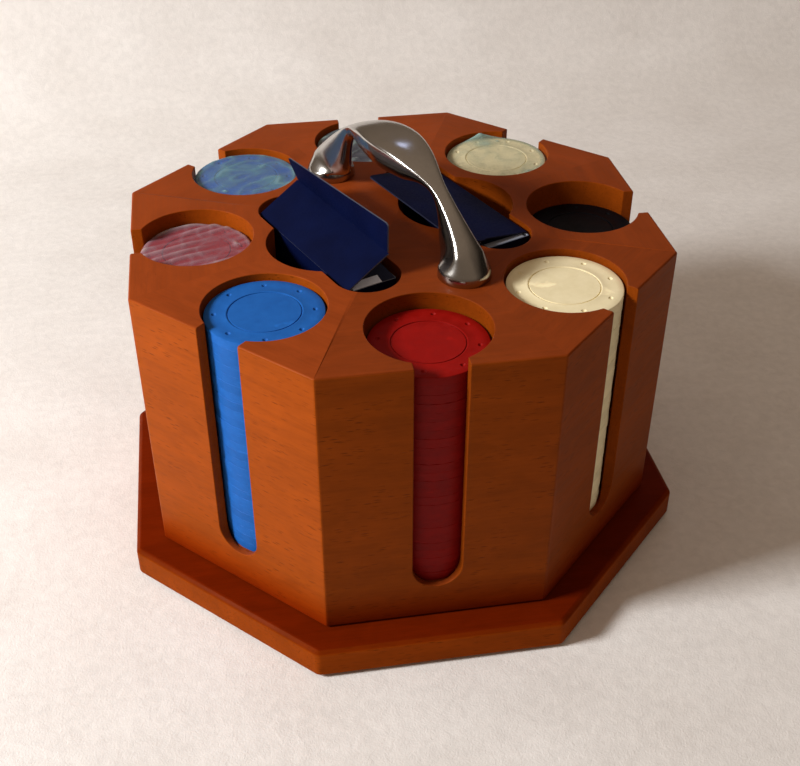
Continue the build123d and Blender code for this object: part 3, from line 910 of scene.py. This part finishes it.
card_finish, tree, shader, place = new_finish("card_edges", Roughness=0.55)
layers = cloud(tree, place, (3600, 60, 60), turn=-deck_turn)
feed(tree, shader, Base_Color=ramp(tree, layers, (0.35, core_grey), (0.6, card_white)))
relief(tree, shader, layers, 0.03 * mm)
worked = bmesh.new()
skin(worked, [
    [
        worked.verts.new((x * mm, y * mm, (z + card_height / 2) * mm))
        for y, z in rounded(card_width / 2, card_height / 2, card_corner, 3)
    ]
    for x in (0, card_pitch * card_fill)
])
bmesh.ops.recalc_face_normals(worked, faces=worked.faces)
card_mesh = bpy.data.meshes.new("card")
worked.to_mesh(card_mesh)
worked.free()
card = bpy.data.objects.new("card", card_mesh)
for side, toward in (("left", -1), ("right", 1)):
    foot = across * (toward * deck_middle - deck_thickness / 2) * mm + Vector((0, 0, cards_foot))
    deck = piled_up(
        f"card_deck_{side}", Matrix.Translation(foot) @ Matrix.Rotation(deck_turn, 4, "Z"),
        Piece=card, Count=card_count, Step=(card_pitch, 0, 0), Sway=(0, 0.12, 0), Spin=0.0,
        Seed=40 + toward, Finish=card_finish,
    )
    fitted(deck, f"deck_{side}", "card_stock", card_finish, f"cards_{side}")
bpy.data.objects.remove(card)

# The two card boxes are folded from board half a millimetre thick, printed navy outside and bare
# inside, so every cut edge shows pale. They stand open in their wells, each with a lid, the tongue
# that tucks in, and two dust flaps.
board = 0.5
box_thickness, box_width, fold_radius = 18.6, 64.4, 0.8
box_foot, box_mouth = (corner.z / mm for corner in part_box("deck_box_left"))
lid_inset, tongue_inset, tongue_length, tongue_corner = 0.4, 1.2, 10.2, 1.6
flap_length, flap_inset, flap_taper = 13.0, 1.5, 5.0
flap_curve = [(4.2, 0), (2.8, 1.2), (1.6, 4), (0.5, 8.5), (0.1, 11), (0, 13)]  # Insets and drops.
inside_bare, mouth_bare, flap_edge_bare, face_bare = 0.7, 0.12, 0.8, 0.02
navy_dark, navy_light = (0.0008, 0.0024, 0.020), (0.0014, 0.0042, 0.031)
pulp_dark, pulp_light = (0.70, 0.75, 0.88), (0.79, 0.84, 0.95)
up = Vector((0, 0, 1))
board_finish, tree, shader, place = new_finish("navy_board", Specular_IOR_Level=0.05)
fibre = cloud(tree, place, 1400, detail=3)
wear = cloud(tree, place, 90, detail=4)
bare = add_node(tree, "ShaderNodeAttribute", attribute_name="bare").outputs["Fac"]
navy = blended(tree, between(tree, wear, 0.3, 0.7), navy_dark, navy_light)
pulp = blended(tree, between(tree, fibre, 0.3, 0.7), pulp_dark, pulp_light)
feed(
    tree, shader, Base_Color=blended(tree, bare, navy, pulp),
    Roughness=between(tree, fibre, 0.3, 0.7, 0.48, 0.66),
)
relief(tree, shader, fibre, 0.012 * mm)


def mark_bare(worked, amount):
    """Marks how bare the board is on each face. The amount is a function of the face."""
    layer = worked.faces.layers.float.new("bare")
    worked.normal_update()
    for face in worked.faces:
        face[layer] = amount(face)


def board_panel(name, outline, cuts, where, bend, edge_bare, patch=lambda x, y: 0.0):
    """A panel cut from board, its printed face up. Cuts across X and Y let it bend."""
    worked = bmesh.new()
    face = worked.faces.new([worked.verts.new((x, y, -board)) for x, y in outline])
    raised = bmesh.ops.extrude_face_region(worked, geom=[face])["geom"]
    corners = [part for part in raised if isinstance(part, bmesh.types.BMVert)]
    bmesh.ops.translate(worked, verts=corners, vec=(0, 0, board))
    bmesh.ops.recalc_face_normals(worked, faces=worked.faces)
    for normal, spots in zip((Vector((1, 0, 0)), Vector((0, 1, 0))), cuts):
        for spot in spots:
            parts = worked.verts[:] + worked.edges[:] + worked.faces[:]
            bmesh.ops.bisect_plane(worked, geom=parts, plane_co=normal * spot, plane_no=normal)

    def amount(face):
        """The printed face has its patch, the back is bare, and the cut edges are partly so."""
        if face.normal.z > 0.5:
            return patch(*face.calc_center_median().xy)
        return inside_bare if face.normal.z < -0.5 else edge_bare

    mark_bare(worked, amount)
    for vert in worked.verts:
        vert.co.z += bend(vert.co.x, vert.co.y)
        vert.co *= mm
    worked.transform(where)
    return on_scene(name, smooth_mesh(name, worked, sharp_from=35))


def laid(origin, x_axis, normal):
    """Where a panel lies, from its origin, its X direction and the way its print faces."""
    turned = Matrix((x_axis, normal.cross(x_axis), normal)).transposed().to_4x4()
    return Matrix.Translation(origin * mm) @ turned


def tuck_box(side, toward):
    """The tuck box: four walls with rounded folds, and a folded floor."""
    middle = toward * deck_middle
    worked = bmesh.new()
    outer = rounded(box_thickness / 2, box_width / 2, fold_radius, 4)
    inner = rounded(box_thickness / 2 - board, box_width / 2 - board, fold_radius - board + 0.05, 4)
    loops = []
    for outline, level in (
        (outer, box_foot), (outer, box_mouth), (inner, box_mouth), (inner, box_foot + board)
    ):
        spots = [across * (middle + x) - along * y + Vector((0, 0, level)) for x, y in outline]
        loops.append([worked.verts.new(spot * mm) for spot in spots])
    skin(worked, loops)
    bmesh.ops.recalc_face_normals(worked, faces=worked.faces)

    def amount(face):
        """The walls and the floor are bare inside, and the cut edge at the mouth is partly so."""
        spot = face.calc_center_median() - across * middle * mm
        faces_in = face.normal.dot(spot - Vector((0, 0, spot.z))) < -1e-9
        looks_upwards = face.normal.z > 0.5
        if faces_in or (looks_upwards and spot.z < (box_mouth - 1) * mm):
            return inside_bare
        return mouth_bare if looks_upwards else 0.0

    mark_bare(worked, amount)
    name = f"tuck_box_{side}"
    shell = on_scene(name, smooth_mesh(name, worked, sharp_from=35))
    fitted(shell, f"deck_{side}", "navy_board", board_finish, f"deck_box_{side}")


def dust_flap(side, toward, end, angle, curled, patch):
    """A dust flap, folded in from a short wall. It is cut away towards the lid's crease, and its
    other side is curved and curls up. The near one, at the end 1, has a bare patch along its fold:
    a reach as a part of the flap's width, a depth, and how bare it is."""
    outer = end * toward
    half = box_thickness / 2 - board
    taper = half - flap_inset - flap_taper
    outline = [
        (outer * (half - flap_inset), 0), (outer * taper, flap_length - 1),
        (outer * (taper - 1), flap_length),
        *[(-outer * (half - inset), flap_length - drop) for inset, drop in flap_curve],
    ]
    if outer > 0:
        outline.reverse()
    patch_reach, patch_depth, patch_bare = patch if end == 1 else (0, 0, 0)
    patch_start = 2 * half * (1 - patch_reach)

    def worn(x, y):
        """How bare the printed face is."""
        return patch_bare if y < patch_depth and outer * x + half > patch_start else face_bare

    def curl(x, y):
        """Lifts the flap's free side."""
        return 0.012 * y * y * (half - outer * x) / (2 * half) * curled

    lean = radians(angle)
    fold = box_width / 2 - board - board * sin(lean)
    facing = up * cos(lean) + along * end * sin(lean)
    middle = across * (toward * deck_middle)
    origin = middle + along * end * fold + up * (box_mouth - board) + facing * board
    cuts = (
        [outer * (patch_start - half), *[half * step / 4 for step in range(-3, 4)]],
        [patch_depth, *[1.3 * step for step in range(1, 10)]],
    )
    where = laid(origin, across * end, facing)
    return board_panel(f"flap_{side}_{end}", outline, cuts, where, curl, flap_edge_bare, worn)


def dust_flap_pair(side, toward, angle, curled, patch):
    """The two dust flaps of a box, as one piece."""
    near, far = (dust_flap(side, toward, end, angle, curled, patch) for end in (1, -1))
    both = bmesh.new()
    both.from_mesh(near.data)
    both.from_mesh(far.data)
    both.to_mesh(near.data)
    both.free()
    bpy.data.objects.remove(far)
    near.name = near.data.name = f"dust_flap_pair_{side}"
    fitted(near, f"deck_{side}", "navy_board", board_finish, f"dust_flaps_{side}")


def lid_and_tongue(side, toward, lid_angle, lid_short, tongue_angle, tongue_twist, edge_bare):
    """The lid swings on a crease along the outer long wall, and the tongue on the lid's free edge."""
    lid_lean, tongue_lean = radians(lid_angle), radians(tongue_angle)
    x_axis = along * -toward
    facing = up * cos(lid_lean) + across * toward * sin(lid_lean)
    hinge = across * (toward * deck_middle + toward * box_thickness / 2) + up * box_mouth
    half_lid = box_width / 2 - lid_inset
    front = half_lid - lid_short
    low_x, high_x = (-half_lid, front) if toward < 0 else (-front, half_lid)
    cuts_x = [8 * step for step in range(-3, 4)]
    lid = board_panel(
        f"box_lid_{side}", [(low_x, 0), (high_x, 0), (high_x, box_thickness), (low_x, box_thickness)],
        (cuts_x, [0.6, 2, 5, 9, 13, 16.5, 18]), laid(hinge + facing * board, x_axis, facing),
        lambda x, y: 0.25 * sin(pi * y / box_thickness) * cos(x / 24), edge_bare,
    )
    fitted(lid, f"lid_{side}", "navy_board", board_finish, f"lid_{side}")
    crease = hinge + facing.cross(x_axis) * box_thickness + facing * board
    facing = up * cos(tongue_lean) + across * toward * sin(tongue_lean)
    half_tongue = box_width / 2 - tongue_inset
    outline = [(x, y) for x, y in rounded(half_tongue, tongue_length, tongue_corner, 5) if y > 0]

    def bend(x, y):
        """Twists the tongue and rolls its tip back."""
        twist = tongue_twist * y * (half_tongue - x) / (2 * half_tongue)
        return twist - 0.25 * (y / tongue_length) ** 2

    tongue = board_panel(
        f"tuck_tongue_{side}", [(half_tongue, 0), *outline, (-half_tongue, 0)],
        (cuts_x, [0.6, 2, 4, 6, 8]), laid(crease, x_axis, facing), bend, edge_bare,
    )
    fitted(tongue, f"tongue_{side}", "navy_board", board_finish, f"tongue_{side}")


tuck_box("left", -1)
dust_flap_pair("left", -1, angle=15, curled=1.0, patch=(0.72, 3.4, 1.0))
lid_and_tongue(
    "left", -1, lid_angle=31, lid_short=0.0, tongue_angle=90, tongue_twist=0.40, edge_bare=0.13
)
tuck_box("right", 1)
dust_flap_pair("right", 1, angle=0, curled=0.15, patch=(0.98, 2.6, 0.36))
lid_and_tongue("right", 1, lid_angle=8, lid_short=1.6, tongue_angle=8, tongue_twist=0.0, edge_bare=0.03)
